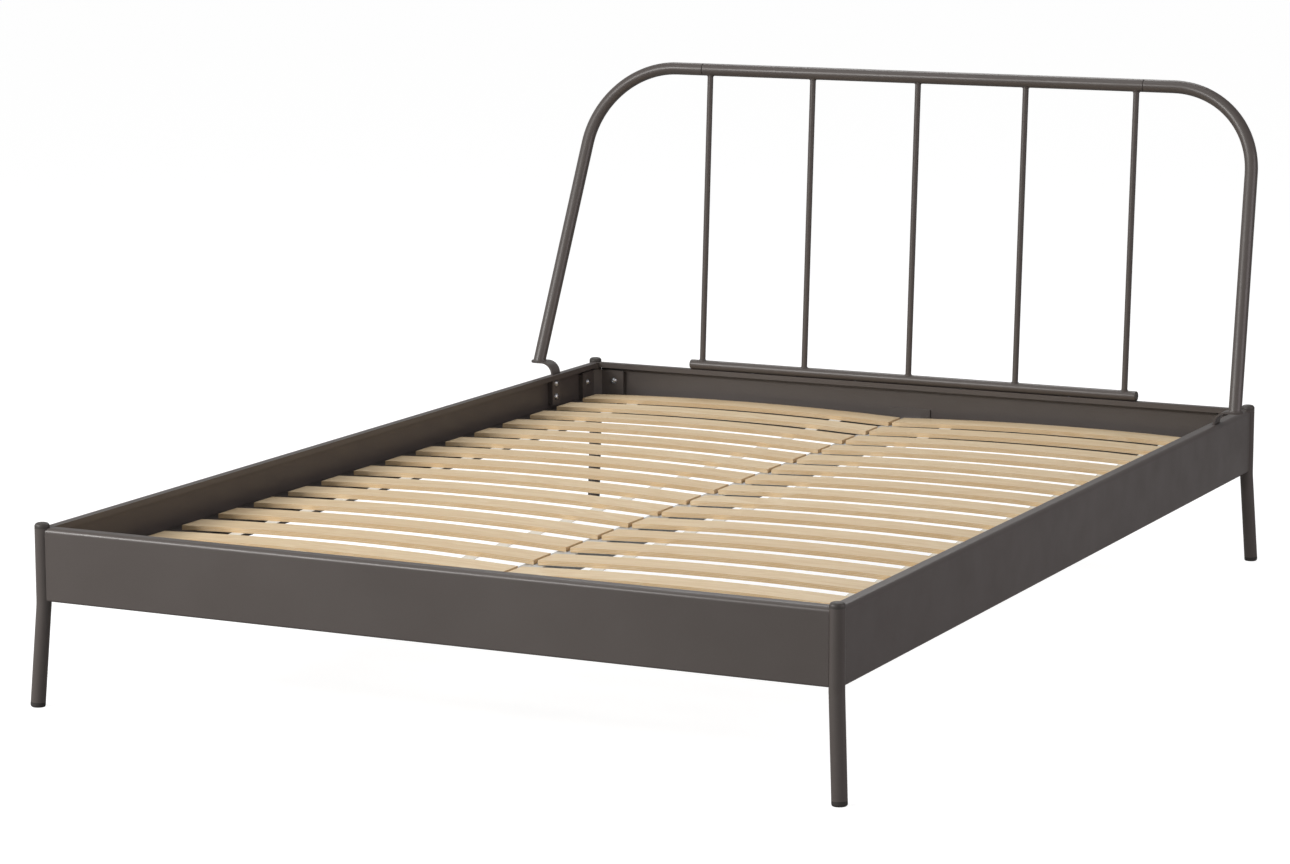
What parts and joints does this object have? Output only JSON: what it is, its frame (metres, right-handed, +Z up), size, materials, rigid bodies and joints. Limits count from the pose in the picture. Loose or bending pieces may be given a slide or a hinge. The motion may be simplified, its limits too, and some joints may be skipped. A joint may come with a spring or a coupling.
{
  "type": "metal bed frame",
  "caption": "Low double bed frame in powder-coated steel, with splayed tube legs, sheet-steel rails, a leaning arched headboard with thin spindles and a slatted base.",
  "frame": {"origin": "on the floor, midway between the four legs, which is within 11 mm of the middle of the whole bed's outline", "axes": "+X across the bed to the right of someone looking from the foot to the head, +Y along the bed from the foot to the head, +Z up"},
  "size_m": [1.5372, 2.1094, 0.941],
  "materials": {
    "frame_paint": "warm dark grey satin powder coat with a fine texture",
    "cap_plastic": "dark grey moulded polyethylene",
    "glide_plastic": "near-black moulded polyethylene",
    "zinc": "bright zinc-plated steel",
    "black_steel": "black-oxide steel screws",
    "galvanised": "hot-dip galvanised sheet with a faint spangle",
    "birch": "layer-glued birch, sanded and sealed",
    "ribbon": "off-white woven polyester ribbon"
  },
  "bodies": {
    "root": {"leg_foot_left": "frame_paint", "leg_foot_right": "frame_paint", "leg_head_left": "frame_paint", "leg_head_right": "frame_paint", "leg_caps": "cap_plastic", "leg_glides": "glide_plastic", "corner_bracket_foot_left": "frame_paint", "corner_bracket_foot_right": "frame_paint", "corner_bracket_head_left": "frame_paint", "corner_bracket_head_right": "frame_paint", "corner_nut_plates": "frame_paint", "corner_bolts": "zinc", "foot_panel": "frame_paint", "head_panel": "frame_paint", "side_rail_left": "frame_paint", "side_rail_right": "frame_paint", "slat_ledge_left": "frame_paint", "slat_ledge_right": "frame_paint", "mid_beam_foot_half": "galvanised", "mid_beam_head_half": "galvanised", "mid_beam_hanger_foot": "frame_paint", "mid_beam_hanger_head": "frame_paint", "mid_beam_splice": "galvanised", "mid_beam_screws": "zinc", "headboard_arch_left": "frame_paint", "headboard_arch_right": "frame_paint", "headboard_top_bar": "frame_paint", "headboard_sleeves": "frame_paint", "headboard_joint_screws": "black_steel", "headboard_spindle_1": "frame_paint", "headboard_spindle_2": "frame_paint", "headboard_spindle_3": "frame_paint", "headboard_spindle_4": "frame_paint", "headboard_spindle_5": "frame_paint", "headboard_lower_bar": "frame_paint", "lower_bar_plugs": "cap_plastic", "lower_bar_screws": "zinc", "headboard_hook_left": "frame_paint", "headboard_hook_right": "frame_paint", "hook_nut_plates": "frame_paint", "hook_bolts": "zinc", "slat_ribbons": "ribbon", "slat_row_01": "birch", "slat_row_02": "birch", "slat_row_03": "birch", "slat_row_04": "birch", "slat_row_05": "birch", "slat_row_06": "birch", "slat_row_07": "birch", "slat_row_08": "birch", "slat_row_09": "birch", "slat_row_10": "birch", "slat_row_11": "birch", "slat_row_12": "birch", "slat_row_13": "birch", "slat_row_14": "birch", "slat_row_15": "birch", "slat_row_16": "birch", "slat_row_17": "birch"}
  },
  "joints": []
}
